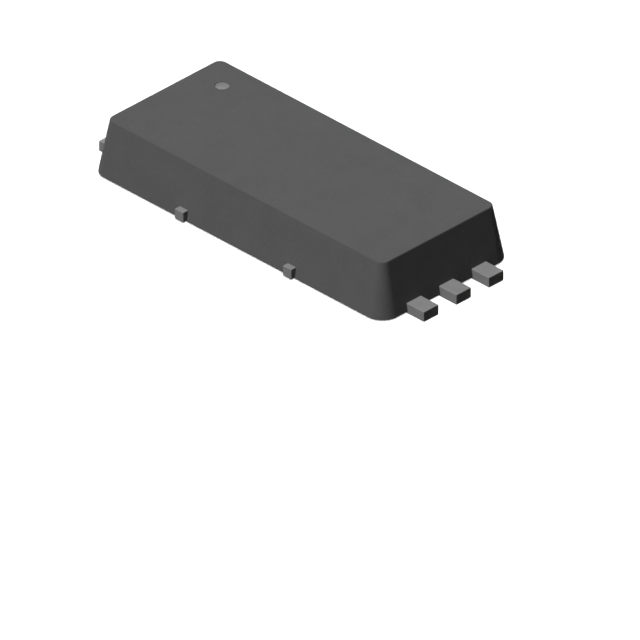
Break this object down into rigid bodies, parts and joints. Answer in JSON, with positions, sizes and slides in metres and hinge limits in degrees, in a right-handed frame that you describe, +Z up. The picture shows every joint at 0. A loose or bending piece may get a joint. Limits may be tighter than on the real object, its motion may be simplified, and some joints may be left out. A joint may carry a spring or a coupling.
{
  "type": "mosfet package",
  "caption": "Small flat-lead power transistor package: drafted dark moulded block, leads at both ends, stepped drain pad open on the underside, dies and bond wires inside.",
  "frame": {"origin": "middle of the footprint, on the plane that the lead feet stand on", "axes": "+X along the package towards leads 4 to 6, +Y across it towards leads 1 and 6, +Z up from the board"},
  "size_m": [0.005, 0.002, 0.0007],
  "materials": {
    "mould_compound": "dark grey moulded epoxy, fine matte",
    "plated_copper": "matte tin plate on copper strip",
    "mark_ink": "light grey marking",
    "silicon": "sawn and ground silicon",
    "die_solder": "reflowed solder",
    "die_metal": "thin aluminium film",
    "wire_copper": "drawn copper"
  },
  "bodies": {
    "root": {"mould_body": "mould_compound", "pin_1_mark": "mark_ink", "drain_pad": "plated_copper", "lead_1_source_1": "plated_copper", "lead_2_source_1": "plated_copper", "lead_3_gate_1": "plated_copper", "lead_4_gate_2": "plated_copper", "lead_5_source_2": "plated_copper", "lead_6_source_2": "plated_copper", "die_solder_1": "die_solder", "die_solder_2": "die_solder", "die_1": "silicon", "die_2": "silicon", "source_metal_1": "die_metal", "source_metal_2": "die_metal", "gate_metal_1": "die_metal", "gate_metal_2": "die_metal", "source_1_wire_1": "wire_copper", "source_1_wire_2": "wire_copper", "source_1_wire_3": "wire_copper", "source_1_wire_4": "wire_copper", "gate_1_wire": "wire_copper", "source_2_wire_1": "wire_copper", "source_2_wire_2": "wire_copper", "source_2_wire_3": "wire_copper", "source_2_wire_4": "wire_copper", "gate_2_wire": "wire_copper"}
  },
  "joints": []
}
